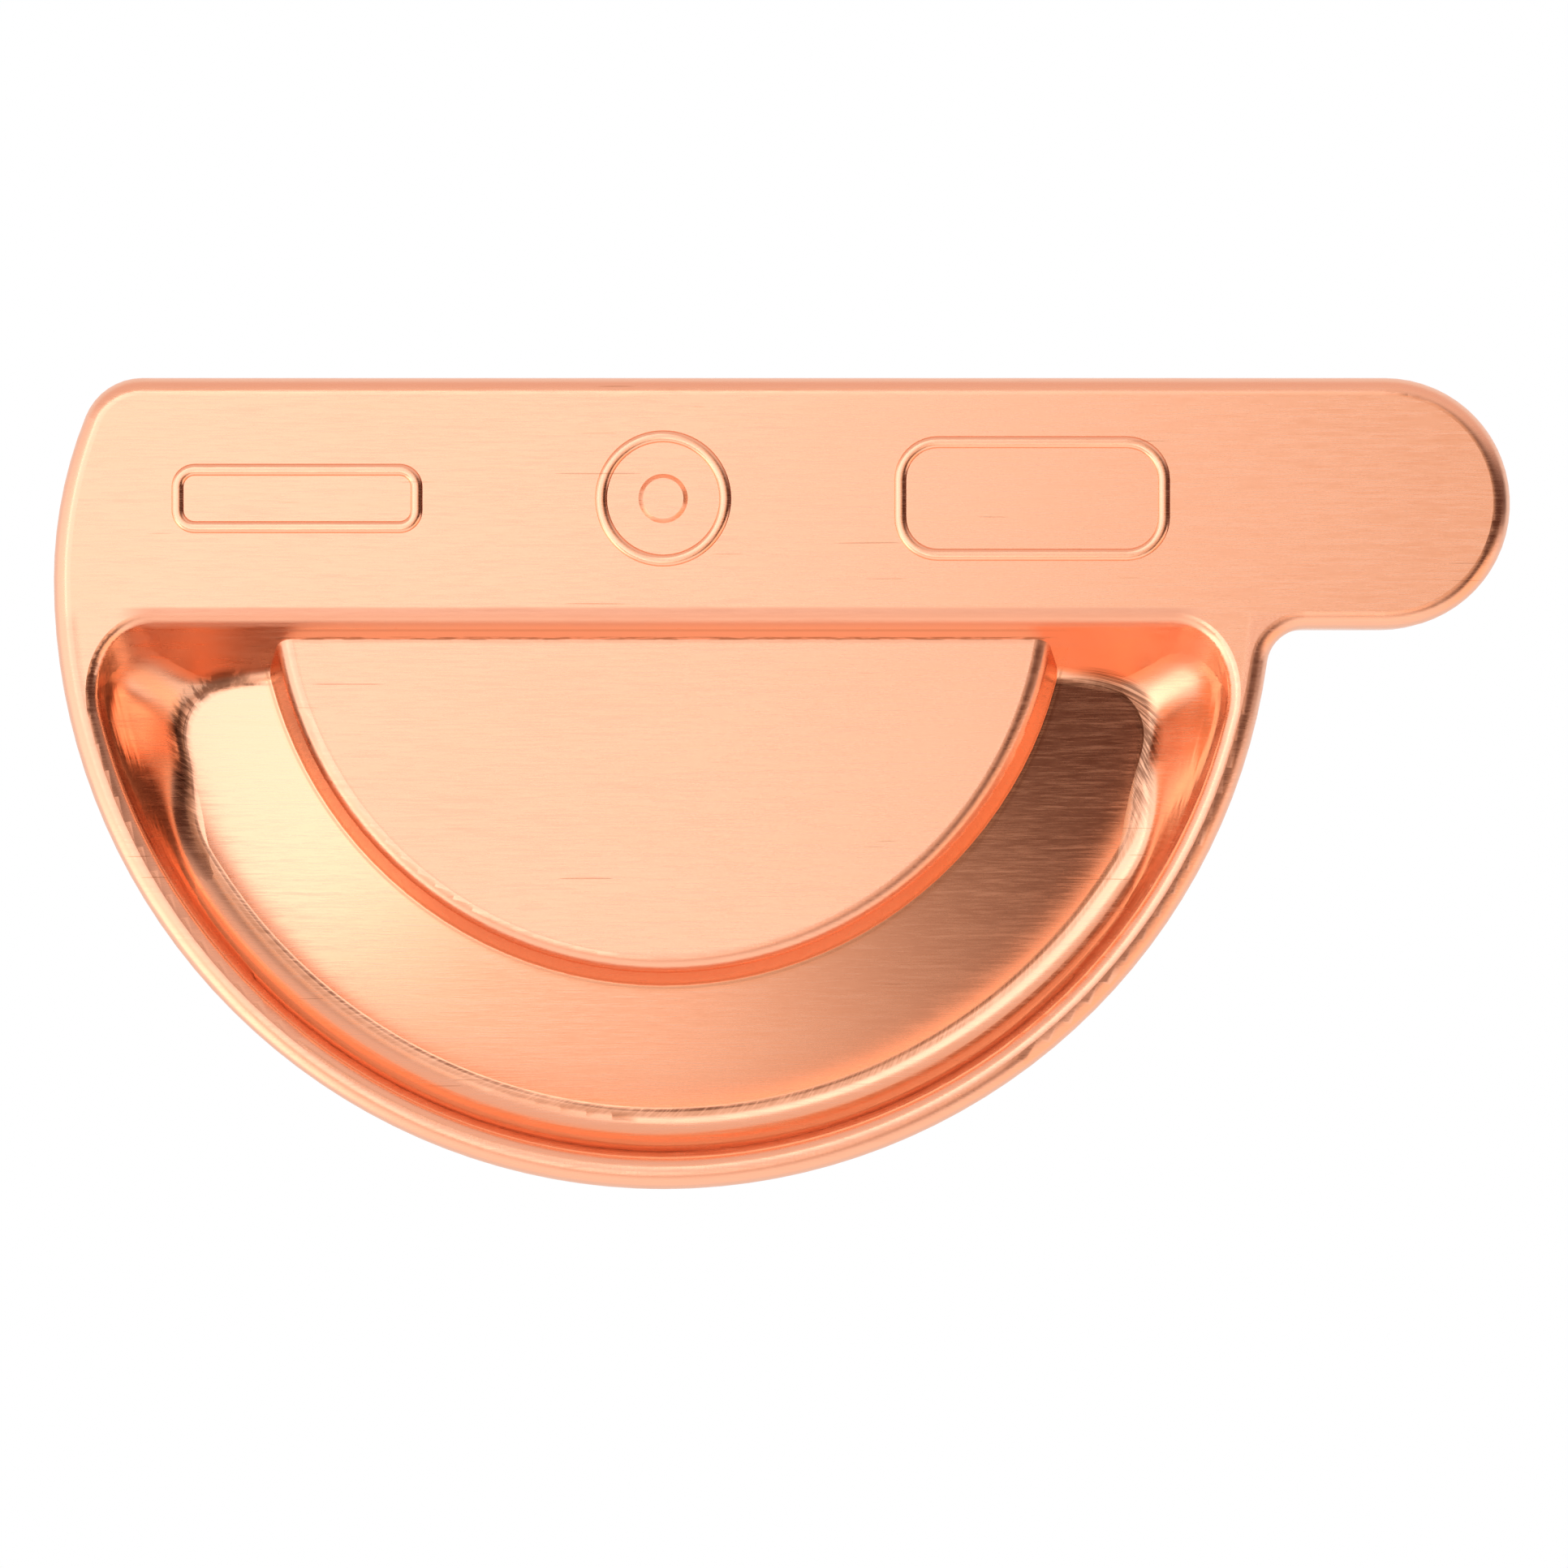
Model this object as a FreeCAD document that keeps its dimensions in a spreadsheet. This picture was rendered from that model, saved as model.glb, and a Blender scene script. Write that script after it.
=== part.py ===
import FreeCAD, Part
import math
import os
import Sketcher
from FreeCAD import Vector

# Driving sizes of the pressed cap, in millimetres and degrees
SIZES = {
    "sheet": 0.6,
    "gutter_width": 80.0,
    "gutter_sheet": 0.6,
    "rim_gap": 0.8,
    "groove_gap": 0.35,
    "bead_width": 16.0,
    "bead_gap": 0.05,
    "bead_shift": 1.1,
    "band_height": 13.9,
    "cap_depth": 9.0,
    "rim_inner_bend": 0.6,
    "neck_bend": 2.6,
    "back_edge_bend": 30.0,
    "back_corner_bend": 4.2,
    "mouth_drop": 2.75,
    "mouth_bend": 0.9,
    "mouth_corner_bend": 4.3,
    "outer_wall_lean": 4.0,
    "upper_wall_lean": 34.0,
    "floor_setback": 0.9,
    "floor_slope": 14.0,
    "floor_bend": 2.6,
    "floor_land": 0.2,
    "slope_bend": 1.5,
    "crescent_width": 12.65,
    "panel_drop": 2.0,
    "panel_inner_bend": 0.65,
    "panel_wall_lean": 20.0,
    "boss_width": 3.4,
    "boss_height": 0.3,
    "boss_lean": 45.0,
    "boss_hollow_inset": 0.25,
}

# Sizes that follow from the driving ones
WORKED = {
    "rim_radius": "Sizes.gutter_width / 2 + Sizes.gutter_sheet + Sizes.rim_gap + Sizes.sheet",
    "lobe_radius": "Sizes.bead_width / 2 + Sizes.bead_gap + Sizes.sheet",
    "bead_reach": "(Sizes.gutter_width + Sizes.bead_width) / 2 + Sizes.gutter_sheet + Sizes.bead_shift",
    "mouth_radius": "rim_radius - 2 * Sizes.sheet - Sizes.gutter_sheet - Sizes.groove_gap",
    "floor_drop": "Sizes.cap_depth - Sizes.sheet - Sizes.floor_setback",
    "foot_radius": "mouth_radius - floor_drop * tan(Sizes.outer_wall_lean * 1 deg)",
    "foot_line": "Sizes.mouth_drop + floor_drop * tan(Sizes.upper_wall_lean * 1 deg)",
    "panel_radius": "mouth_radius - Sizes.crescent_width",
    "panel_bend": "Sizes.panel_inner_bend + Sizes.sheet",
    "bend_reach": "Sizes.floor_bend * tan((90 - Sizes.outer_wall_lean) / 2 * 1 deg)",
    "land_radius": "foot_radius - bend_reach - Sizes.floor_land",
    "boss_line": "(Sizes.band_height - Sizes.mouth_drop) / 2",
}

doc = FreeCAD.newDocument("gutter_end_cap")

sizes = doc.addObject("Spreadsheet::Sheet", "Sizes")
for row, (name, number) in enumerate(SIZES.items(), start=1):
    sizes.set(f"A{row}", name)
    sizes.set(f"B{row}", str(number))
    sizes.setAlias(f"B{row}", name)
doc.recompute()

worked = doc.addObject("App::VarSet", "Worked")
for name, formula in WORKED.items():
    worked.addProperty("App::PropertyFloat", name)
    worked.setExpression(name, formula)
    doc.recompute()

body = doc.addObject("PartDesign::Body", "end_cap")
body.Label = "end_cap"

# The band's back face lies at depth zero, its front one sheet nearer
FRONT = -sizes.sheet
BACK = FRONT + sizes.cap_depth
NEAR = 1e-3


def new_sketch(name, role, offset=None):
    """A sketch on one of the body's origin planes, moved along its normal."""
    sketch = body.newObject("Sketcher::SketchObject", name)
    plane = next(item for item in body.Origin.OriginFeatures if item.Role == role)
    sketch.AttachmentSupport = [(plane, "")]
    sketch.MapMode = "FlatFace"
    if offset:
        sketch.setExpression("AttachmentOffset.Base.z", offset)
    return sketch


def add_line(sketch, start, end):
    return sketch.addGeometry(Part.LineSegment(Vector(*start, 0), Vector(*end, 0)))


def add_arc(sketch, centre, radius, first, last):
    """An arc that runs anticlockwise between two angles in degrees."""
    circle = Part.Circle(Vector(*centre, 0), Vector(0, 0, 1), radius)
    return sketch.addGeometry(Part.ArcOfCircle(circle, math.radians(first), math.radians(last)))


def add_chain(sketch, points):
    """Lines joined end to end through the points, without closing them."""
    lines = [add_line(sketch, start, end) for start, end in zip(points, points[1:])]
    for first, second in zip(lines, lines[1:]):
        constrain(sketch, "Coincident", first, 2, second, 1)
    return lines


def constrain(sketch, kind, *items):
    return sketch.addConstraint(Sketcher.Constraint(kind, *items))


def dimension(sketch, formula, kind, *items):
    """A driving dimension that follows a formula; it starts at the drawn size."""
    index = constrain(sketch, kind, *items)
    sketch.setExpression(f"Constraints[{index}]", formula)


def add_feature(kind, name, **settings):
    """A feature of the body; text settings are formulas, others plain values."""
    feature = body.newObject(f"PartDesign::{kind}", name)
    for key, setting in settings.items():
        if isinstance(setting, str):
            feature.setExpression(key, setting)
        else:
            setattr(feature, key, setting)
    doc.recompute()
    return feature


def shallow(item):
    """Least depth among the corners of an edge or face."""
    return min(vertex.Y for vertex in item.Vertexes)


def deep(item):
    """Greatest depth among the corners of an edge or face."""
    return max(vertex.Y for vertex in item.Vertexes)


def add_round(name, base, radius, wanted):
    """Rounds every edge of the base feature that passes the test."""
    shape = base.Shape
    names = []
    for number, edge in enumerate(shape.Edges, start=1):
        if wanted(edge, shape.ancestorsOfType(edge, Part.Face)):
            names.append(f"Edge{number}")
    return add_feature("Fillet", name, Base=(base, names), Radius=radius)


# Outline: top edge, bead lobe, neck, half-round, back edge and its corner
rim = worked.rim_radius
lobe = worked.lobe_radius
reach = worked.bead_reach
height = sizes.band_height
corner_bend = sizes.back_corner_bend
neck_height = height - 2 * lobe - sizes.neck_bend
outline = new_sketch("outline", "XZ_Plane", "Sizes.sheet")
top_edge = add_line(outline, (2 * corner_bend - rim, height), (reach, height))
lobe_arc = add_arc(outline, (reach, height - lobe), lobe, -90, 90)
lobe_under = add_line(outline, (reach, height - 2 * lobe), (rim + sizes.neck_bend, height - 2 * lobe))
neck_arc = add_arc(outline, (rim + sizes.neck_bend, neck_height), sizes.neck_bend, 90, 170)
half_round = add_arc(outline, (0, 0), rim, 180, 350)
back_edge = add_arc(outline, (sizes.back_edge_bend - rim, 0), sizes.back_edge_bend, 160, 180)
back_corner = add_arc(outline, (2 * corner_bend - rim, height - corner_bend), corner_bend, 90, 160)
constrain(outline, "Coincident", half_round, 3, -1, 1)
constrain(outline, "PointOnObject", back_edge, 3, -1)
constrain(outline, "Horizontal", top_edge)
constrain(outline, "Horizontal", lobe_under)
constrain(outline, "Tangent", top_edge, 2, lobe_arc, 2)
constrain(outline, "Tangent", lobe_arc, 1, lobe_under, 1)
constrain(outline, "Tangent", lobe_under, 2, neck_arc, 1)
constrain(outline, "Tangent", neck_arc, 2, half_round, 2)
constrain(outline, "Tangent", half_round, 1, back_edge, 2)
constrain(outline, "Tangent", back_edge, 1, back_corner, 2)
constrain(outline, "Tangent", back_corner, 1, top_edge, 1)
dimension(outline, "Worked.rim_radius", "Radius", half_round, rim)
dimension(outline, "Worked.lobe_radius", "Radius", lobe_arc, lobe)
dimension(outline, "Sizes.neck_bend", "Radius", neck_arc, sizes.neck_bend)
dimension(outline, "Sizes.back_edge_bend", "Radius", back_edge, sizes.back_edge_bend)
dimension(outline, "Sizes.back_corner_bend", "Radius", back_corner, corner_bend)
dimension(outline, "Sizes.band_height", "DistanceY", -1, 1, top_edge, 2, height)
dimension(outline, "Worked.bead_reach", "DistanceX", -1, 1, lobe_arc, 3, reach)
doc.recompute()
blank = add_feature("Pad", "blank", Profile=outline, Reversed=True, Length="Sizes.cap_depth")

# Bowl drawn back below the band, with a leaning wall and a level bottom
mouth = worked.mouth_radius
foot = worked.foot_radius
floor = FRONT + worked.floor_drop
bowl_section = new_sketch("bowl_section", "XY_Plane")
axis_side, open_side, outer_wall, bottom = add_chain(
    bowl_section,
    [(0, floor), (0, FRONT), (mouth, FRONT), (foot, floor), (0, floor)],
)
constrain(bowl_section, "PointOnObject", axis_side, 1, -2)
constrain(bowl_section, "PointOnObject", axis_side, 2, -2)
constrain(bowl_section, "Horizontal", open_side)
constrain(bowl_section, "Horizontal", bottom)
constrain(bowl_section, "Coincident", bottom, 2, axis_side, 1)
dimension(bowl_section, "Sizes.sheet", "DistanceY", open_side, 1, -1, 1, sizes.sheet)
dimension(bowl_section, "Worked.mouth_radius", "DistanceX", -1, 1, open_side, 2, mouth)
dimension(bowl_section, "Worked.foot_radius", "DistanceX", -1, 1, outer_wall, 2, foot)
dimension(bowl_section, "Worked.floor_drop - Sizes.sheet", "DistanceY", -1, 1, outer_wall, 2, floor)
doc.recompute()
bowl = add_feature(
    "Groove", "bowl",
    Profile=bowl_section, ReferenceAxis=(bowl_section, ["V_Axis"]), Angle=180,
)

# Sloping wall that closes the top of the bowl under the band
wall_section = new_sketch("wall_section", "YZ_Plane")
drop = sizes.mouth_drop
corners = [(floor, 0), (FRONT, 0), (FRONT, -drop), (floor, -worked.foot_line), (floor, 0)]
band_side, front_side, wall_side, deep_side = add_chain(wall_section, corners)
constrain(wall_section, "Coincident", deep_side, 2, band_side, 1)
constrain(wall_section, "PointOnObject", band_side, 2, -1)
constrain(wall_section, "Horizontal", band_side)
constrain(wall_section, "Vertical", front_side)
constrain(wall_section, "Vertical", deep_side)
dimension(wall_section, "Sizes.sheet", "DistanceX", front_side, 1, -1, 1, sizes.sheet)
dimension(wall_section, "Sizes.mouth_drop", "DistanceY", front_side, 2, -1, 1, drop)
dimension(wall_section, "Worked.foot_line", "DistanceY", wall_side, 2, -1, 1, worked.foot_line)
dimension(wall_section, "Worked.floor_drop - Sizes.sheet", "DistanceX", -1, 1, wall_side, 2, floor)
doc.recompute()
upper_wall = add_feature(
    "Pad", "upper_wall",
    Profile=wall_section, Midplane=True, Length="Worked.mouth_radius + Worked.rim_radius - Sizes.sheet",
)


# Rounded corners where the two walls meet, then the bend all round the floor
def between_walls(edge, faces):
    return shallow(edge) < FRONT + NEAR < deep(edge) < BACK - NEAR


def round_the_floor(edge, faces):
    walls = [shallow(face) < FRONT + NEAR for face in faces]
    return shallow(edge) > FRONT + NEAR and deep(edge) < BACK - NEAR and walls[0] != walls[1]


bowl_corners = add_round("bowl_corners", upper_wall, "Sizes.mouth_corner_bend", between_walls)
floor_round = add_round("floor_round", bowl_corners, "Sizes.floor_bend", round_the_floor)

# Sloping floor and half-moon panel raised from the bottom, with the panel's bend in the section
panel_end = worked.panel_radius
panel_bend = worked.panel_bend
panel_front = FRONT + sizes.panel_drop
land = worked.land_radius
slope = math.radians(sizes.floor_slope)
panel_section = new_sketch("panel_section", "XY_Plane")
axis_side, panel_face = add_chain(
    panel_section,
    [(0, floor), (0, panel_front), (panel_end - panel_bend, panel_front)],
)
bend_arc = add_arc(
    panel_section,
    (panel_end - panel_bend, panel_front + panel_bend), panel_bend, 270, 360 - sizes.panel_wall_lean,
)
panel_wall, sloping_floor, panel_base = add_chain(
    panel_section,
    [
        (panel_end, panel_front + panel_bend),
        (panel_end + panel_bend, floor - (land - panel_end - panel_bend) * math.tan(slope)),
        (land, floor),
        (0, floor),
    ],
)
constrain(panel_section, "PointOnObject", axis_side, 1, -2)
constrain(panel_section, "PointOnObject", axis_side, 2, -2)
constrain(panel_section, "Horizontal", panel_face)
constrain(panel_section, "Tangent", panel_face, 2, bend_arc, 1)
constrain(panel_section, "Tangent", bend_arc, 2, panel_wall, 1)
constrain(panel_section, "Horizontal", panel_base)
constrain(panel_section, "Coincident", panel_base, 2, axis_side, 1)
dimension(panel_section, "Sizes.panel_drop - Sizes.sheet", "DistanceY", -1, 1, panel_face, 1, panel_front)
dimension(panel_section, "Worked.panel_bend", "Radius", bend_arc, panel_bend)
dimension(
    panel_section, "Worked.panel_radius - Worked.panel_bend",
    "DistanceX", -1, 1, bend_arc, 3, panel_end - panel_bend,
)
dimension(
    panel_section, "(90 - Sizes.panel_wall_lean) * 1 deg",
    "Angle", panel_wall, math.radians(90 - sizes.panel_wall_lean),
)
dimension(panel_section, "Sizes.floor_slope * 1 deg", "Angle", sloping_floor, slope)
dimension(panel_section, "Worked.land_radius", "DistanceX", -1, 1, sloping_floor, 2, land)
dimension(panel_section, "Worked.floor_drop - Sizes.sheet", "DistanceY", -1, 1, panel_base, 1, floor)
doc.recompute()
panel = add_feature(
    "Revolution", "panel",
    Profile=panel_section, ReferenceAxis=(panel_section, ["V_Axis"]), Angle=180,
)


# Bend between the sloping floor and the upper wall, either side of the panel
def along_the_slope(edge, faces):
    kinds = {type(face.Surface) for face in faces}
    sloping = any(isinstance(face.Surface, Part.Cone) and deep(face) > floor - NEAR for face in faces)
    return kinds == {Part.Plane, Part.Cone} and sloping and shallow(edge) < deep(edge) - NEAR


slope_round = add_round("slope_round", panel, "Sizes.slope_bend", along_the_slope)

# One sheet thickness everywhere, open at the back
open_faces = []
for number, face in enumerate(slope_round.Shape.Faces, start=1):
    if shallow(face) > BACK - NEAR:
        open_faces.append(f"Face{number}")
pressed_sheet = add_feature(
    "Thickness", "pressed_sheet",
    Base=(slope_round, open_faces), Reversed=True, Mode=0, Join=0, Value="Sizes.sheet",
)


# Bends along the mouth of the bowl, round the outer rim and inside it
def at_the_mouth(edge, faces):
    return deep(edge) < FRONT + NEAR and all(deep(face) < BACK - NEAR for face in faces)


def round_the_rim(edge, faces):
    return deep(edge) < FRONT + NEAR and any(deep(face) > BACK - NEAR for face in faces)


def inside_the_rim(edge, faces):
    level = abs(shallow(edge)) < NEAR and abs(deep(edge)) < NEAR
    return level and any(deep(face) > BACK - NEAR for face in faces)


mouth_round = add_round("mouth_round", pressed_sheet, "Sizes.mouth_bend", at_the_mouth)
rim_round = add_round("rim_round", mouth_round, "Sizes.rim_inner_bend + Sizes.sheet", round_the_rim)
rim_inside = add_round("rim_inside", rim_round, "Sizes.rim_inner_bend", inside_the_rim)


# Small round boss pressed forward in the middle of the band, hollow behind
def draw_boss(sketch, diameter):
    centre = Vector(0, worked.boss_line, 0)
    start = worked.evalExpression(diameter)
    circle = sketch.addGeometry(Part.Circle(centre, Vector(0, 0, 1), start / 2))
    constrain(sketch, "PointOnObject", circle, 3, -2)
    dimension(sketch, "Worked.boss_line", "DistanceY", -1, 1, circle, 3, centre.y)
    dimension(sketch, diameter, "Diameter", circle, start)
    doc.recompute()


boss_outline = new_sketch("boss_outline", "XZ_Plane", "Sizes.sheet")
draw_boss(boss_outline, "Sizes.boss_width")
boss = add_feature(
    "Pad", "boss",
    Profile=boss_outline, Length="Sizes.boss_height", TaperAngle="-Sizes.boss_lean * 1 deg",
)
hollow_outline = new_sketch("hollow_outline", "XZ_Plane")
draw_boss(hollow_outline, "Sizes.boss_width - 2 * Sizes.boss_hollow_inset")
boss_hollow = add_feature(
    "Pocket", "boss_hollow",
    Profile=hollow_outline, Reversed=True, Length="Sizes.boss_height", TaperAngle="-Sizes.boss_lean * 1 deg",
)
body.Tip = boss_hollow
doc.recompute()

# Every step has to hold before the cap is written out
drawn = [step.Shape.Volume for step in (pressed_sheet, bowl, upper_wall, panel, blank)]
pressed = [step.Shape.Volume for step in (rim_inside, boss_hollow, boss)]
if drawn != sorted(drawn) or not pressed[0] < pressed[2] > pressed[1]:
    raise RuntimeError(f"a step of the cap added or removed nothing: {drawn}, {pressed}")
for item in doc.Objects:
    if "Invalid" in item.State or "Error" in item.State:
        raise RuntimeError(f"{item.Label} did not build")
if body.Shape.isNull() or not body.Shape.isValid() or len(body.Shape.Solids) != 1:
    raise RuntimeError("the cap is not one sound solid")

os.makedirs("parts", exist_ok=True)
body.Shape.exportStep(f"parts/{body.Label}.step")
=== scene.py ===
import math

import bmesh
import bpy
from mathutils import Matrix, Vector
from mathutils.bvhtree import BVHTree


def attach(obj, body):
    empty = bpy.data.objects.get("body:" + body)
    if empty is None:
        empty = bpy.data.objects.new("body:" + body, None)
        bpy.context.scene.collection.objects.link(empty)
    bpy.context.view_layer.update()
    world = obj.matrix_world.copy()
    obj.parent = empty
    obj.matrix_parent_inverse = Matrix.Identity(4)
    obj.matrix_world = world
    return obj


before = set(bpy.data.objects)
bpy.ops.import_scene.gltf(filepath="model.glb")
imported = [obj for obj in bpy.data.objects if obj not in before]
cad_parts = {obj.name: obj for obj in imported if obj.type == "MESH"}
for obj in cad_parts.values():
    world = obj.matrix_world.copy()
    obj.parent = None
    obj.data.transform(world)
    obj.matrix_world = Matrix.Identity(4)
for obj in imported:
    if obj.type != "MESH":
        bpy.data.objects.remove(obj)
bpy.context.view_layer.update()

MM = 0.001

# Sizes of the pressed cap that the finish follows, in millimetres and degrees
SHEET = 0.6
MOUTH_RADIUS = 39.85
MOUTH_DROP = 2.75
MOUTH_CORNER = 4.3
UPPER_WALL_LEAN = 34.0
WALL_CREASE_HEIGHT = -3.5
FLOOR_FOOT_RADIUS = 28.4
FLOOR_FOOT_DEPTH = 4.83
FLOOR_SLOPE = 14.0
FLOOR_GRADE = math.tan(math.radians(FLOOR_SLOPE))
FLOOR_EDGE_RADIUS = 36.7
TIP_TOP = -7.2
TIP_EDGE_RADIUS = 35.1
TIP_CORNER = 5.0
PANEL_BEND_RADIUS = 26.5
PANEL_DEPTH = 1.4
PANEL_TOP = -4.1
SCRATCH_HEIGHT = -7.2
SCRATCH_CENTRE = -21.8

# The swept corner at each end of the crescent, in millimetres and degrees
SWEEP_HUB = Vector((27.0, -14.0))
SWEEP_START = 73.0
SWEEP_END = -85.0
SWEEP_THICKNESS = 0.12
SWEEP_SINK = 0.06
SWEEP_FOOT_SINK = 0.03
SWEEP_TOP_DEPTH = 1.0
SWEEP_TOP_LAP = 0.15
SWEEP_BLEND = 1.2
SWEEP_WIDENS_OVER = 80.0
SWEEP_WIDENS_EXTRA = 0.3

# How hollow it is: toward the bowl's wall and toward the panel, from a turn on and over some degrees
BOWL_HOLLOW = 4.5
BOWL_HOLLOW_FROM = 25.0
BOWL_HOLLOW_OVER = 100.0
PANEL_HOLLOW_FROM = 48.0
PANEL_HOLLOW_OVER = 28.0

# Shares of its length and height: the bend at its foot and the fades at its edges
SWEEP_FOOT = 0.16
FADE_AT_ENDS = 0.4
FADE_AT_TOP = 0.15
FADE_AT_FOOT = 0.45
SWEEP_COLUMNS = 84
SWEEP_ROWS = 44
SWEEP_SMOOTHING = 14
SEARCH_REACH = 30.0
SEARCH_STEPS = 40
IN_FRONT = -50.0

# Raised beads pressed into the band, in millimetres; a frame has a width, a height and a corner
BEAD_LINE = 5.575
BEAD_WIDTH = 0.85
BEAD_HEIGHT = 0.27
BEAD_SINK = 0.06
BEAD_ROUND = 0.32
SMALL_FRAME = (17.3, 4.8, 1.6)
SMALL_FRAME_CENTRE = -25.2
LARGE_FRAME = (19.0, 8.6, 3.0)
LARGE_FRAME_CENTRE = 25.4
RING_DIAMETER = 9.4
RING_CENTRE = 0.0

# The copper's colours as bare metal reflects them
COPPER = (0.955, 0.555, 0.385, 1.0)
COPPER_GRAIN = (0.945, 0.52, 0.345, 1.0)
# Painted reflection: a deeper orange for the bowl's walls, standing in for light bounced between them
COPPER_WALL_REFLECTION = (0.95, 0.46, 0.25, 1.0)
COPPER_SATIN = (0.9, 0.49, 0.34, 1.0)
# Dark copper for scratches, also used for painted shade along crease lines and for the darker strip at the
# floor's edge
COPPER_SCRATCH_AND_SHADE = (0.45, 0.2, 0.1, 1.0)
# Painted shade: near-black dark reflection round the crescent's ends and the shade line at the floor's
# fold
COPPER_PAINTED_SHADE = (0.17, 0.075, 0.045, 1.0)

# Patterns that run straight across the cap: how fine they are across, deep and up, per millimetre
FINE_GRAIN = (0.55, 0.4, 12.0)
BROAD_GRAIN = (0.12, 0.2, 3.2)
BLOOM = (0.05, 0.12, 0.12)
STIPPLE = (5.5, 5.5, 5.5)
STROKES = (0.7, 1.0, 9.0)
HAIRS = (0.1, 0.2, 5.0)

# Patterns that run round the bowl: how fine they are per radian, then outward and deep per millimetre
DRAW_LINES = (260.0, 0.7, 0.7)
WALL_WAVES = (2.4, 1.5, 0.9)
FIBRES = (190.0, 0.8, 0.4)
FIBRE_SLANT = 6.0

# How high the patterns stand, in millimetres
GRAIN_RELIEF = 0.0032
STIPPLE_RELIEF = 0.006
DRAW_LINE_RELIEF = 0.003
FIBRE_RELIEF = 0.008
WAVE_RELIEF = 0.05
HAIR_RELIEF = 0.001

# The studio's walls as the metal reflects them
WHITE = (1.0, 1.0, 1.0, 1.0)
ROOM_DARK = (0.085, 0.032, 0.022, 1.0)
ROOM_BELOW = (0.95, 0.68, 0.55, 1.0)
ROOM_LOW = (1.25, 1.1, 1.0, 1.0)
ROOM_LEFT = (1.4, 1.35, 1.3, 1.0)
ROOM_RIGHT = (1.4, 1.2, 1.1, 1.0)
ROOM_ABOVE = (0.93, 0.72, 0.64, 1.0)
ROOM_LOW_LEFT = (2.3, 2.1, 1.9, 1.0)
ROOM_LOW_RIGHT = (1.45, 0.98, 0.7, 1.0)

# The studio's lamps, floor and camera, in metres
LAMP_WHITE = (1.0, 1.0, 1.0)
LAMP_WARM = (1.0, 0.68, 0.46)
FLOOR_GREY = (0.85, 0.85, 0.85, 1.0)
STUDIO_FLOOR_RADIUS = 0.5
STUDIO_FLOOR_HEIGHT = -0.1
VIEW_WIDTH = 0.10793
VIEW_CENTRE_ACROSS = 0.00832
VIEW_CENTRE_UP = -0.01408
CAMERA_DISTANCE = 1.0


class Value:
    """A number that varies over a surface; sums and products of it add Math nodes."""

    def __init__(self, finish, socket):
        self.finish = finish
        self.socket = socket

    def math(self, operation, first, second=0.0):
        node = self.finish.node("ShaderNodeMath", {"operation": operation}, {0: first, 1: second})
        return Value(self.finish, node.outputs[0])

    def __add__(self, other):
        return self.math("ADD", self, other)

    __radd__ = __add__

    def __sub__(self, other):
        return self.math("SUBTRACT", self, other)

    def __rsub__(self, other):
        return self.math("SUBTRACT", other, self)

    def __mul__(self, other):
        return self.math("MULTIPLY", self, other)

    __rmul__ = __mul__

    def __abs__(self):
        return self.math("ABSOLUTE", self)

    def most(self, other):
        return self.math("MAXIMUM", self, other)

    def rise(self, low, high):
        """0 below the low value, 1 above the high one and smooth between."""
        settings = {"interpolation_type": "SMOOTHSTEP"}
        node = self.finish.node("ShaderNodeMapRange", settings, {0: self, 1: low, 2: high})
        return Value(self.finish, node.outputs[0])

    def near(self, place, core, edge):
        """1 within the core distance of a place and 0 beyond the edge distance."""
        return 1 - abs(self - place).rise(core, edge)


class Finish:
    """A material or a world whose nodes are added one call at a time."""

    def __init__(self, holder):
        holder.use_nodes = True
        self.tree = holder.node_tree
        self.tree.nodes.clear()

    def node(self, kind, settings=None, inputs=None):
        node = self.tree.nodes.new(kind)
        for key, setting in (settings or {}).items():
            setattr(node, key, setting)
        for key, value in (inputs or {}).items():
            self.feed(node.inputs[key], value)
        return node

    def feed(self, socket, value):
        if isinstance(value, Value):
            value = value.socket
        if isinstance(value, bpy.types.NodeSocket):
            self.tree.links.new(value, socket)
        else:
            socket.default_value = value

    def mix(self, share, first, second):
        """A colour between two colours."""
        settings = {"data_type": "RGBA"}
        return self.node("ShaderNodeMix", settings, {0: share, 6: first, 7: second}).outputs[2]

    def stretched(self, vector, factors):
        node = self.node("ShaderNodeVectorMath", {"operation": "MULTIPLY"}, {0: vector, 1: factors})
        return node.outputs[0]

    def length(self, vector):
        node = self.node("ShaderNodeVectorMath", {"operation": "LENGTH"}, {0: vector})
        return Value(self, node.outputs["Value"])

    def noise(self, vector, detail=2.0, roughness=0.6):
        inputs = {"Vector": vector, "Scale": 1.0, "Detail": detail, "Roughness": roughness}
        return Value(self, self.node("ShaderNodeTexNoise", None, inputs).outputs[0])

    def parts(self, vector):
        node = self.node("ShaderNodeSeparateXYZ", None, {0: vector})
        return [Value(self, output) for output in node.outputs]

    def joined(self, first, second, third):
        node = self.node("ShaderNodeCombineXYZ", None, {0: first, 1: second, 2: third})
        return node.outputs[0]


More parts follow.
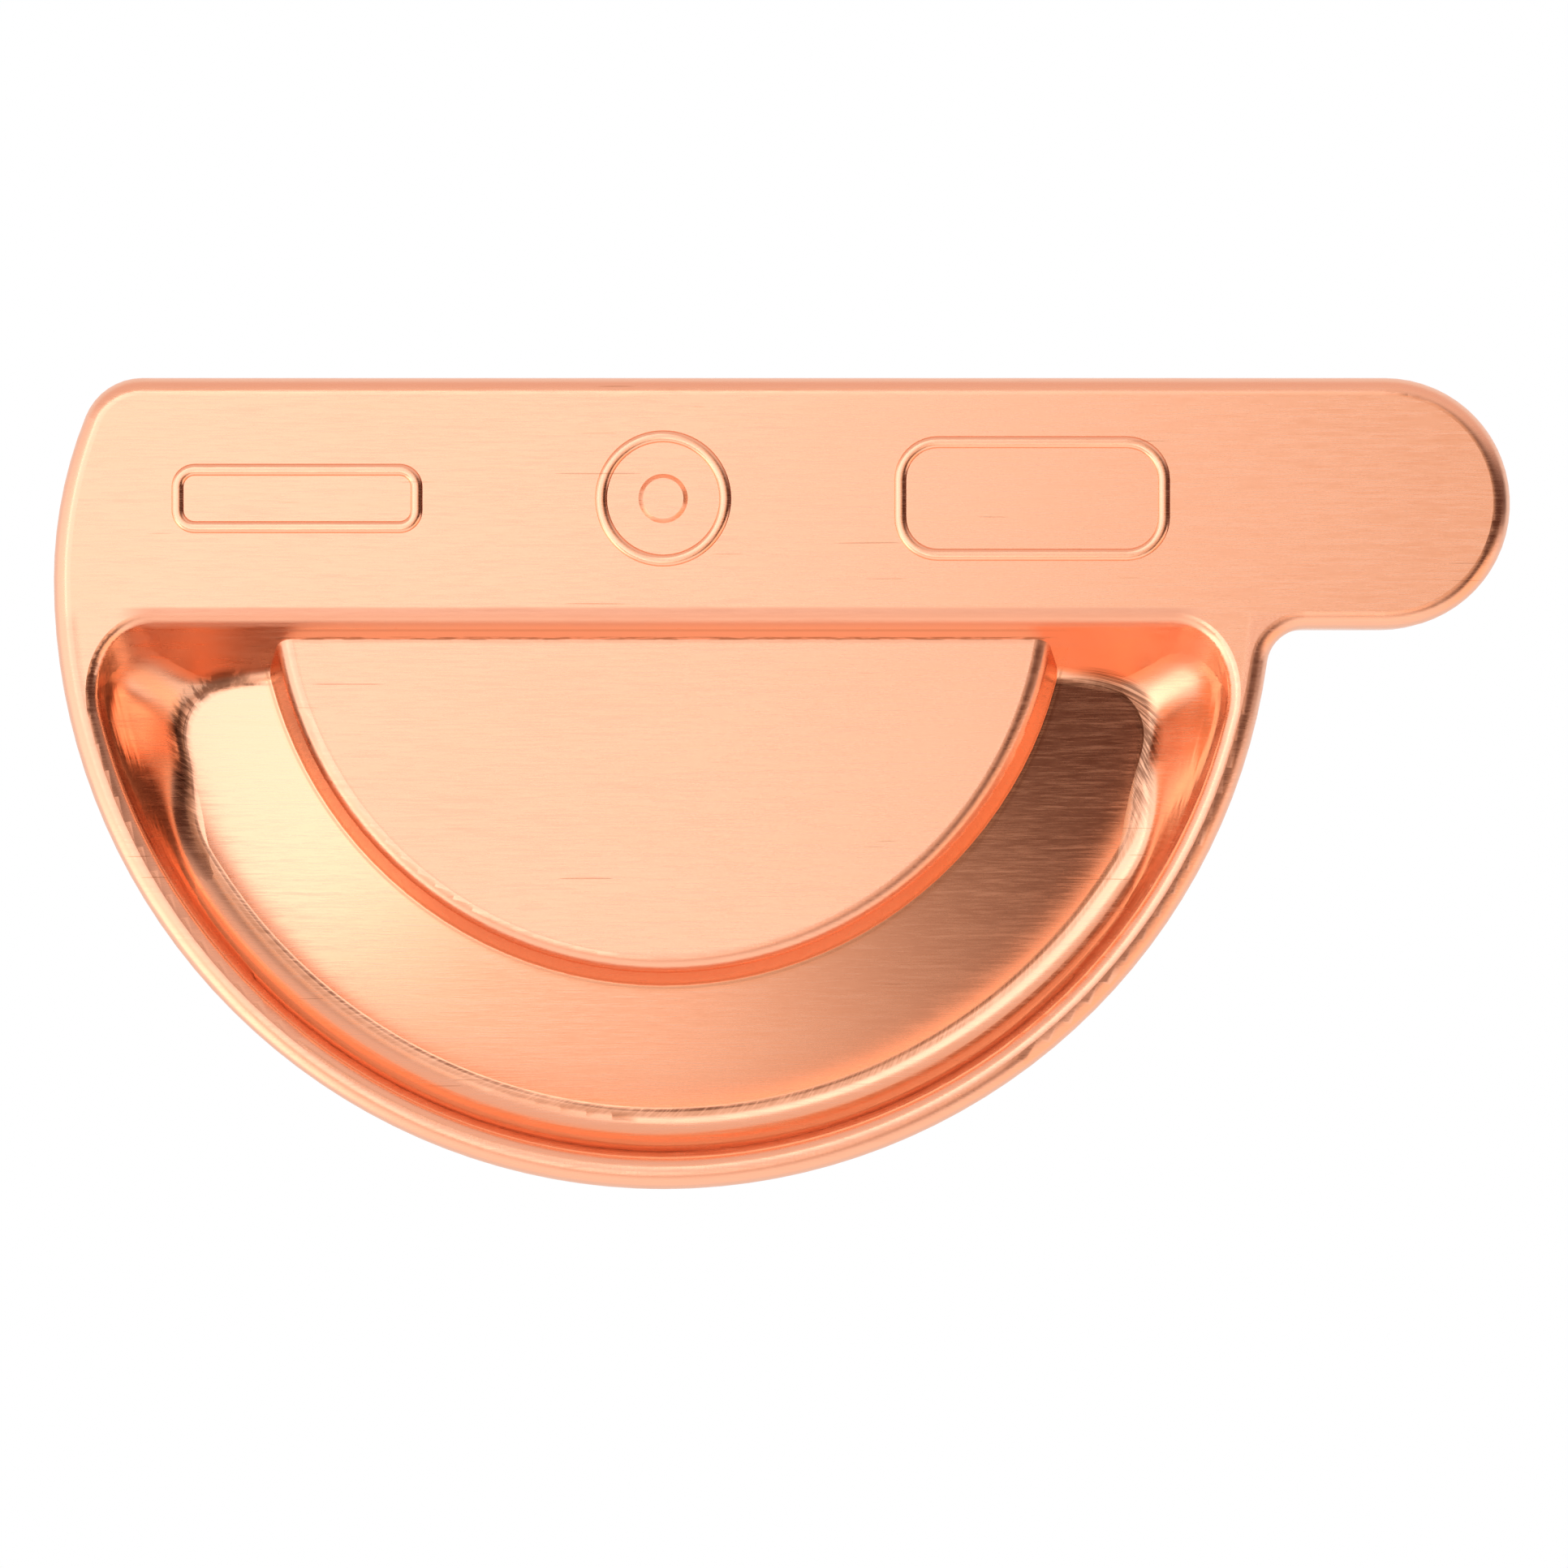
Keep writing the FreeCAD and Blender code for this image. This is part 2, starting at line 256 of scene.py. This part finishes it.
class CapPlaces:
    """Where a point of the sheet lies, in millimetres, and which form of the cap it is on."""

    def __init__(self, finish):
        self.finish = finish
        metres = finish.node("ShaderNodeTexCoord").outputs["Object"]
        self.point = finish.stretched(metres, (1 / MM, 1 / MM, 1 / MM))
        self.across, self.depth, self.height = finish.parts(self.point)
        self.drop = 0 - self.height
        self.off_middle = abs(self.across)
        self.radius = finish.length(finish.stretched(self.point, (1.0, 0.0, 1.0)))
        self.turn = self.height.math("ARCTAN2", self.height, self.across)
        self.lower = self.drop.rise(MOUTH_DROP - 1.0, MOUTH_DROP + 0.5)
        self.inside = self.lower * (1 - self.radius.rise(MOUTH_RADIUS - 0.2, MOUTH_RADIUS + 0.5))
        self.past_floor = self.past_crescent()
        self.front = self.front_side()

    def straight(self, fineness):
        """Coordinates for a pattern that runs straight across the cap."""
        return self.finish.stretched(self.point, fineness)

    def curved(self, per_turn, outward, deep):
        """Coordinates for a pattern that runs round the bowl."""
        return self.finish.joined(self.turn * per_turn, self.radius * outward, self.depth * deep)

    def slanted(self, per_turn, outward, deep):
        """Coordinates for a pattern that leans across the edge of the crescent's floor."""
        leaning = self.turn * per_turn + self.past_floor * FIBRE_SLANT
        return self.finish.joined(leaning, self.past_floor * outward, self.depth * deep)

    def past_crescent(self):
        """How far a point lies outside the crescent's floor with its rounded ends."""
        widening = self.drop.rise(11.5, 18.5) * (FLOOR_EDGE_RADIUS - TIP_EDGE_RADIUS)
        above = (self.height - TIP_TOP + TIP_CORNER).most(0.0)
        beyond = (self.radius - widening - TIP_EDGE_RADIUS + TIP_CORNER).most(0.0)
        return self.finish.length(self.finish.joined(above, beyond, 0.0)) - TIP_CORNER

    def front_side(self):
        """The front side of the sheet at the crescent's floor and the bends above it."""
        under = self.depth - FLOOR_FOOT_DEPTH - (self.radius - FLOOR_FOOT_RADIUS) * FLOOR_GRADE
        return 1 - under.rise(0.15, 0.35)

    def rim(self):
        """The half-round rim outside the bowl's mouth."""
        return self.lower * self.radius.rise(MOUTH_RADIUS + 0.4, MOUTH_RADIUS + 0.9)

    def rolled_edge(self):
        """The bend from the band into the flange."""
        return self.depth.rise(-SHEET + 0.03, -SHEET + 0.25) * (1 - self.inside)

    def mouth_edge(self):
        """The straight bend between the band and the upper wall."""
        between_ends = 1 - self.off_middle.rise(35.0, 38.0)
        return self.height.near(-MOUTH_DROP + 0.15, 0.5, 0.8) * between_ends

    def panel_edge(self):
        """The bend round the half-moon panel."""
        below_top = self.drop.rise(-PANEL_TOP - 0.1, -PANEL_TOP + 0.4)
        above_foot = 1 - self.depth.rise(PANEL_DEPTH + 0.8, PANEL_DEPTH + 1.6)
        return self.radius.near(PANEL_BEND_RADIUS, 0.4, 0.8) * below_top * above_foot

    def upper_wall(self):
        """The sloping wall under the band, and its ends, which round into the bowl's wall."""
        lean = math.tan(math.radians(UPPER_WALL_LEAN))
        off_plane = self.height + MOUTH_DROP + (self.depth + SHEET) * lean
        flat = off_plane.near(0.0, 0.15, 0.35)
        above_floor = 1 - self.depth.rise(4.0, 5.6)
        round_ends = off_plane.near(0.0, 0.4, 2.2) * self.off_middle.rise(31.5, 34.0) * above_floor
        return flat.most(round_ends) * self.depth.rise(-0.3, 0.6) * self.inside

    def panel_wall(self):
        """The steep wall from the panel's bend down to the crescent's floor."""
        past_bend = self.radius.rise(PANEL_BEND_RADIUS + 0.2, PANEL_BEND_RADIUS + 0.7)
        before_foot = 1 - self.radius.rise(FLOOR_FOOT_RADIUS - 0.1, FLOOR_FOOT_RADIUS + 0.2)
        below_panel = self.depth.rise(PANEL_DEPTH + 0.3, PANEL_DEPTH + 1.0)
        return past_bend * before_foot * below_panel * self.lower

    def outer_wall(self):
        """The steep outer wall of the bowl."""
        past_floor = self.radius.rise(FLOOR_EDGE_RADIUS + 0.9, FLOOR_EDGE_RADIUS + 2.3)
        before_rim = 1 - self.radius.rise(MOUTH_RADIUS + 0.55, MOUTH_RADIUS + 0.95)
        return past_floor * before_rim * self.depth.rise(-0.4, 0.6) * self.lower

    def floor_line(self):
        """A fine dark line of painted shade where the stretched bend runs into the crescent's floor."""
        return self.past_floor.near(0.02, 0.05, 0.15) * self.depth.rise(4.6, 5.2) * self.front

    def floor_edge(self):
        """The darker, duller strip just outside that line."""
        return self.past_floor.near(0.22, 0.16, 0.42) * self.depth.rise(4.6, 5.2) * self.front

    def tip_shade(self):
        """Painted dark reflection round each end of the crescent."""
        end = self.off_middle.rise(27.5, 30.5) * self.height.rise(-19.0, -13.0) * self.inside
        deep = self.depth.rise(3.4, 4.4) * self.front
        return self.past_floor.near(0.45, 0.25, 0.95) * deep * end

    def hair_scratch(self):
        """One long fine scratch on the panel."""
        return self.height.near(SCRATCH_HEIGHT, 0.015, 0.05) * self.across.near(SCRATCH_CENTRE, 1.6, 2.7)

    def panel_crease(self):
        """The sharp bend between the upper wall and the panel's top."""
        between_ends = 1 - self.off_middle.rise(PANEL_BEND_RADIUS - 0.5, PANEL_BEND_RADIUS + 1.0)
        return self.height.near(PANEL_TOP + 0.06, 0.06, 0.14) * between_ends

    def wall_crease(self):
        """A fine line pressed along the middle of the upper wall."""
        return self.height.near(WALL_CREASE_HEIGHT, 0.03, 0.12) * (1 - self.off_middle.rise(24.0, 30.0))

    def panel_foot(self):
        """The line where the panel's wall runs into the crescent's floor."""
        line = self.radius.near(FLOOR_FOOT_RADIUS - 0.2, 0.05, 0.13)
        return line * self.depth.rise(4.2, 4.5) * self.lower


def copper_finish():
    """Bright rolled copper: lengthwise grain, satin on the stretched bends, painted shade and reflection
    in the bowl.
    """
    material = bpy.data.materials.new("rolled_copper")
    finish = Finish(material)
    cap = CapPlaces(finish)
    rim = cap.rim()
    mouth_edge = cap.mouth_edge()
    upper_wall = cap.upper_wall()
    outer_wall = cap.outer_wall()
    floor_edge = cap.floor_edge()
    tip_shade = cap.tip_shade()

    fine_grain = finish.noise(cap.straight(FINE_GRAIN))
    broad_grain = finish.noise(cap.straight(BROAD_GRAIN))
    bloom = finish.noise(cap.straight(BLOOM), roughness=0.5)
    stipple = finish.noise(cap.straight(STIPPLE))
    strokes = finish.noise(cap.straight(STROKES))
    draw_lines = finish.noise(cap.curved(*DRAW_LINES))
    wall_waves = finish.noise(cap.curved(*WALL_WAVES), roughness=0.5)
    fibres = finish.noise(cap.slanted(*FIBRES), detail=3.0, roughness=0.65)
    hairs = finish.noise(cap.straight(HAIRS), detail=1.0, roughness=0.4).rise(0.77, 0.79)
    hairs = hairs * (1 - outer_wall)
    grain = fine_grain * 0.6 + broad_grain * 0.4
    streaks = fine_grain.rise(0.35, 0.7) * 0.6 + broad_grain.rise(0.45, 0.75) * 0.4

    edges = rim.most(cap.rolled_edge()).most(mouth_edge).most(cap.panel_edge())
    satin = edges.most(upper_wall * 0.9)
    # Painted reflection: where the deeper orange goes, on the upper wall, the panel's wall and the outer
    # wall
    wall_reflection_tint = (upper_wall * 0.6).most(cap.panel_wall()).most(outer_wall)

    patches = 0.5 + wall_waves.rise(0.35, 0.6) * 0.5
    # Darker strip at the floor's edge, broken up by the fibre pattern and patches
    floor_edge_darkening = floor_edge * (0.45 + fibres.rise(0.35, 0.65) * 0.4) * patches
    # Painted shade line along the floor's fold, broken up by the fibre pattern
    floor_line_shade = cap.floor_line() * (0.45 + fibres.rise(0.3, 0.6) * 0.55) * patches
    # Painted dark reflection round the crescent's ends, broken up by the fibre pattern
    tip_shade_streaks = tip_shade * (0.3 + fibres.rise(0.38, 0.58) * 0.7)
    # Painted shade: dark lines in the crease at the panel's top, along the middle of the upper wall and at
    # the panel's foot
    crease_shade = cap.panel_crease() * strokes.rise(0.4, 0.6)
    crease_shade = crease_shade + cap.wall_crease() * 0.35 + cap.panel_foot() * 0.5
    # Scratches, with painted shade on the crease lines and the darker strip at the floor's edge
    scratches_and_shade = floor_edge_darkening.most(crease_shade).most(cap.hair_scratch() * 0.6)

    colour = finish.mix(grain.rise(0.3, 0.7), COPPER_GRAIN, COPPER)
    colour = finish.mix(satin * 0.8, colour, COPPER_SATIN)
    colour = finish.mix(wall_reflection_tint * 0.3, colour, COPPER_WALL_REFLECTION)
    colour = finish.mix(scratches_and_shade * 0.7, colour, COPPER_SCRATCH_AND_SHADE)
    colour = finish.mix(tip_shade_streaks.most(floor_line_shade) * 0.85, colour, COPPER_PAINTED_SHADE)
    colour = finish.mix(hairs * 0.5, colour, COPPER_SCRATCH_AND_SHADE)

    roughness = (
        0.17 + streaks * 0.14 + bloom * 0.06 + scratches_and_shade * 0.15
        + edges * 0.07 + mouth_edge * 0.18 + upper_wall * 0.1 - wall_reflection_tint * 0.04
    )
    relief = (
        grain * (1 - satin * 0.7) * GRAIN_RELIEF
        + stipple * satin * STIPPLE_RELIEF
        + draw_lines * rim * DRAW_LINE_RELIEF
        + fibres * (floor_edge * 0.5).most(tip_shade) * FIBRE_RELIEF
        + wall_waves * outer_wall * WAVE_RELIEF
        - hairs * HAIR_RELIEF
    )
    bump = finish.node("ShaderNodeBump", None, {"Strength": 1.0, "Distance": MM, "Height": relief})
    shader = finish.node(
        "ShaderNodeBsdfPrincipled", None,
        {"Base Color": colour, "Roughness": roughness, "Metallic": 1.0, "Normal": bump.outputs[0]},
    )
    output = finish.node("ShaderNodeOutputMaterial")
    finish.feed(output.inputs["Surface"], shader.outputs[0])
    return material


def dress_sheet(material):
    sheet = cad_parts["end_cap"]
    for slot in sheet.material_slots:
        slot.material = material


def add_piece(name, shape, material):
    mesh = bpy.data.meshes.new(name)
    shape.to_mesh(mesh)
    shape.free()
    mesh.shade_smooth()
    mesh.materials.append(material)
    piece = bpy.data.objects.new(name, mesh)
    bpy.context.scene.collection.objects.link(piece)
    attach(piece, "root")


def past_outline(place, top, radius, corner):
    """How far a place lies outside a half disc cut off at the top, with rounded corners."""
    over_top = place.y - top + corner
    over_side = place.length - radius + corner
    outside = math.hypot(max(over_top, 0.0), max(over_side, 0.0))
    return min(max(over_top, over_side), 0.0) + outside - corner


def reach_outline(heading, top, radius, corner):
    """The place on such an outline that lies in one direction from the hub."""
    near, far = 0.0, SEARCH_REACH
    for _ in range(SEARCH_STEPS):
        middle = (near + far) / 2
        if past_outline(SWEEP_HUB + heading * middle, top, radius, corner) < 0.0:
            near = middle
        else:
            far = middle
    return SWEEP_HUB + heading * near


def floor_depth(radius):
    return FLOOR_FOOT_DEPTH + (radius - FLOOR_FOOT_RADIUS) * FLOOR_GRADE


def smooth_step(share):
    share = min(max(share, 0.0), 1.0)
    return share * share * (3 - 2 * share)


def sweep_rise(turn, up):
    """How far up its rise the swept corner is, with a bend at its foot and a hollow above that."""
    bend = up * up / (2 * SWEEP_FOOT) if up < SWEEP_FOOT else up - SWEEP_FOOT / 2
    bend = bend / (1 - SWEEP_FOOT / 2)
    toward_bowl = smooth_step((BOWL_HOLLOW_FROM - turn) / BOWL_HOLLOW_OVER)
    toward_panel = smooth_step((turn - PANEL_HOLLOW_FROM) / PANEL_HOLLOW_OVER)
    return bend ** (1.0 + BOWL_HOLLOW * toward_bowl + toward_panel)


def edge_fade(along, up):
    """1 in the middle of the swept corner and 0 at its edges."""
    at_ends = smooth_step(min(along, 1 - along) / FADE_AT_ENDS)
    at_top = smooth_step((1 - up) / FADE_AT_TOP)
    return at_ends * at_top * smooth_step(up / FADE_AT_FOOT)


def sweep_place(along, up, sheet_depth):
    """A place on the swept corner, in millimetres, kept just under the sheet where that stands prouder."""
    turn = SWEEP_START + (SWEEP_END - SWEEP_START) * along
    heading = Vector((math.cos(math.radians(turn)), math.sin(math.radians(turn))))
    widening = FLOOR_EDGE_RADIUS + SWEEP_WIDENS_EXTRA - TIP_EDGE_RADIUS
    foot_radius = TIP_EDGE_RADIUS + smooth_step(-turn / SWEEP_WIDENS_OVER) * widening
    foot = reach_outline(heading, TIP_TOP, foot_radius, TIP_CORNER)
    lap = SWEEP_TOP_LAP
    top = reach_outline(heading, -MOUTH_DROP + lap, MOUTH_RADIUS + lap, MOUTH_CORNER + lap)
    place = foot + (top - foot) * up
    whole_rise = floor_depth(top.length) - SWEEP_TOP_DEPTH
    depth = floor_depth(place.length) + SWEEP_FOOT_SINK - whole_rise * sweep_rise(turn, up)
    sheet = sheet_depth(place) + SWEEP_SINK
    overlap = max(SWEEP_BLEND - abs(depth - sheet), 0.0) / SWEEP_BLEND
    depth = min(depth, sheet) - overlap * overlap * SWEEP_BLEND / 4 * edge_fade(along, up)
    return Vector((place.x, depth, place.y))


def sweep_corner(name, side, material):
    """The rounded end of the crescent, where the upper wall sweeps round into the bowl's wall."""
    sheet = bmesh.new()
    sheet.from_mesh(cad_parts["end_cap"].data)
    front = BVHTree.FromBMesh(sheet)
    sheet.free()

    def sheet_depth(place):
        start = Vector((place.x, IN_FRONT, place.y)) * MM
        return front.ray_cast(start, Vector((0.0, 1.0, 0.0)))[0].y / MM

    skin = bmesh.new()
    bmesh.ops.create_grid(skin, x_segments=SWEEP_COLUMNS, y_segments=SWEEP_ROWS, size=0.5)
    for vert in skin.verts:
        vert.co = sweep_place(vert.co.x + 0.5, vert.co.y + 0.5, sheet_depth) * MM
    inner = [vert for vert in skin.verts if not vert.is_boundary]
    for _ in range(SWEEP_SMOOTHING):
        bmesh.ops.smooth_vert(skin, verts=inner, factor=0.5, use_axis_y=True)
    if side < 0:
        bmesh.ops.scale(skin, vec=(-1.0, 1.0, 1.0), verts=skin.verts)
    bmesh.ops.recalc_face_normals(skin, faces=skin.faces[:])
    back = bmesh.ops.extrude_face_region(skin, geom=skin.faces[:], use_keep_orig=True)
    moved = [item for item in back["geom"] if isinstance(item, bmesh.types.BMVert)]
    bmesh.ops.translate(skin, verts=moved, vec=(0.0, SWEEP_THICKNESS * MM, 0.0))
    bmesh.ops.recalc_face_normals(skin, faces=skin.faces[:])
    add_piece(name, skin, material)


def raise_bead(name, outline, centre, material):
    """A rounded bead along the edge of a flat outline, pressed forward out of the band."""
    bmesh.ops.inset_region(
        outline, faces=outline.faces[:], thickness=BEAD_WIDTH * MM,
        use_boundary=True, use_even_offset=True,
    )
    middle = min(outline.faces, key=lambda face: face.calc_center_median().length)
    bmesh.ops.delete(outline, geom=[middle], context="FACES")
    lift = (BEAD_HEIGHT + BEAD_SINK) * MM
    raised = bmesh.ops.extrude_face_region(outline, geom=outline.faces[:])
    lifted = [item for item in raised["geom"] if isinstance(item, bmesh.types.BMVert)]
    bmesh.ops.translate(outline, verts=lifted, vec=(0.0, 0.0, lift))
    just_under_top = lift - 1e-7
    brims = [
        edge for edge in outline.edges
        if all(vert.co.z > just_under_top for vert in edge.verts)
        and any(face.normal.z < 0.5 for face in edge.link_faces)
    ]
    bmesh.ops.bevel(
        outline, geom=brims, offset=BEAD_ROUND * MM, segments=4, profile=0.5,
        affect="EDGES", material=-1, clamp_overlap=True,
    )
    bmesh.ops.recalc_face_normals(outline, faces=outline.faces[:])
    upright = Matrix.Rotation(math.radians(90), 4, "X")
    to_band = Matrix.Translation((centre * MM, (-SHEET + BEAD_SINK) * MM, BEAD_LINE * MM))
    bmesh.ops.transform(outline, matrix=to_band @ upright, verts=outline.verts)
    add_piece(name, outline, material)


def rounded_plate(width, height, corner):
    outline = bmesh.new()
    bmesh.ops.create_grid(outline, x_segments=1, y_segments=1, size=0.5 * MM)
    bmesh.ops.scale(outline, vec=(width, height, 1.0), verts=outline.verts)
    bmesh.ops.bevel(
        outline, geom=outline.verts[:], offset=corner * MM, segments=10, profile=0.5,
        affect="VERTICES", material=-1,
    )
    return outline


def round_plate(diameter):
    outline = bmesh.new()
    bmesh.ops.create_circle(outline, cap_ends=True, radius=diameter / 2 * MM, segments=72)
    return outline


def press_marks(material):
    """Plain raised frames and a ring, left empty."""
    raise_bead("small_frame", rounded_plate(*SMALL_FRAME), SMALL_FRAME_CENTRE, material)
    raise_bead("middle_ring", round_plate(RING_DIAMETER), RING_CENTRE, material)
    raise_bead("large_frame", rounded_plate(*LARGE_FRAME), LARGE_FRAME_CENTRE, material)


def add_softbox(name, place, size, brightness, colour):
    """A soft lamp in front that faces straight back; the metal reflects it, the camera doesn't see it."""
    width, height = size
    lamp = bpy.data.lights.new(name, "AREA")
    lamp.shape = "RECTANGLE"
    lamp.size = width
    lamp.size_y = height
    lamp.energy = brightness * math.pi * width * height
    lamp.color = colour
    holder = bpy.data.objects.new(name, lamp)
    holder.location = place
    holder.rotation_euler = (math.radians(90), 0.0, 0.0)
    holder.visible_camera = False
    bpy.context.scene.collection.objects.link(holder)


def light_studio():
    """A big soft lamp at the front left, a slim warm one beside it, soft walls all round."""
    add_softbox("key_softbox", (-0.5, -1.15, 0.05), (1.1, 1.2), 1.42, LAMP_WHITE)
    add_softbox("warm_fill", (0.2, -1.15, 0.0), (0.28, 0.9), 0.72, LAMP_WARM)

    world = bpy.data.worlds.new("studio")
    bpy.context.scene.world = world
    room = Finish(world)
    toward = room.node("ShaderNodeTexCoord").outputs["Generated"]
    right, back, up = room.parts(toward)
    left = 0 - right
    down = 0 - up
    path = room.node("ShaderNodeLightPath")
    patches = [
        (down.rise(0.05, 0.4) * (1 - right.rise(0.05, 0.5)), ROOM_BELOW),
        (down.rise(0.52, 0.7), ROOM_LOW),
        (right.rise(0.48, 0.62) * down.rise(0.25, 0.4), ROOM_LOW_RIGHT),
        (left.rise(0.42, 0.78), ROOM_LEFT),
        (left.rise(0.48, 0.6) * down.rise(0.3, 0.45), ROOM_LOW_LEFT),
        (right.rise(0.8, 0.93) * down.rise(0.12, 0.3), ROOM_RIGHT),
        (up.rise(0.1, 0.6), ROOM_ABOVE),
        (back.rise(0.0, 0.4), WHITE),
        (path.outputs["Is Camera Ray"], WHITE),
    ]
    colour = ROOM_DARK
    for share, patch in patches:
        colour = room.mix(share, colour, patch)
    background = room.node("ShaderNodeBackground", None, {"Color": colour, "Strength": 1.0})
    output = room.node("ShaderNodeOutputWorld")
    room.feed(output.inputs["Surface"], background.outputs[0])


def add_floor():
    """A pale round table top below the cap."""
    mesh = bpy.data.meshes.new("floor")
    shape = bmesh.new()
    bmesh.ops.create_circle(shape, cap_ends=True, radius=STUDIO_FLOOR_RADIUS, segments=96)
    bmesh.ops.translate(shape, verts=shape.verts, vec=(0.0, 0.0, STUDIO_FLOOR_HEIGHT))
    shape.to_mesh(mesh)
    shape.free()
    floor = bpy.data.objects.new("floor", mesh)
    bpy.context.scene.collection.objects.link(floor)
    material = bpy.data.materials.new("pale_floor")
    finish = Finish(material)
    shader = finish.node("ShaderNodeBsdfDiffuse", None, {"Color": FLOOR_GREY})
    output = finish.node("ShaderNodeOutputMaterial")
    finish.feed(output.inputs["Surface"], shader.outputs[0])
    mesh.materials.append(material)
    floor.visible_glossy = False


def place_camera():
    """A long lens straight in front, framed as a square picture."""
    camera = bpy.data.cameras.new("front_camera")
    camera.sensor_width = 36.0
    camera.lens = camera.sensor_width * CAMERA_DISTANCE / VIEW_WIDTH
    camera.clip_start = 0.01
    holder = bpy.data.objects.new("front_camera", camera)
    holder.location = (VIEW_CENTRE_ACROSS, -CAMERA_DISTANCE - SHEET * MM, VIEW_CENTRE_UP)
    holder.rotation_euler = (math.radians(90), 0.0, 0.0)
    bpy.context.scene.collection.objects.link(holder)
    bpy.context.scene.camera = holder


copper = copper_finish()
dress_sheet(copper)
sweep_corner("left_corner", -1, copper)
sweep_corner("right_corner", 1, copper)
press_marks(copper)
light_studio()
add_floor()
place_camera()
bpy.context.scene.view_settings.view_transform = "Standard"
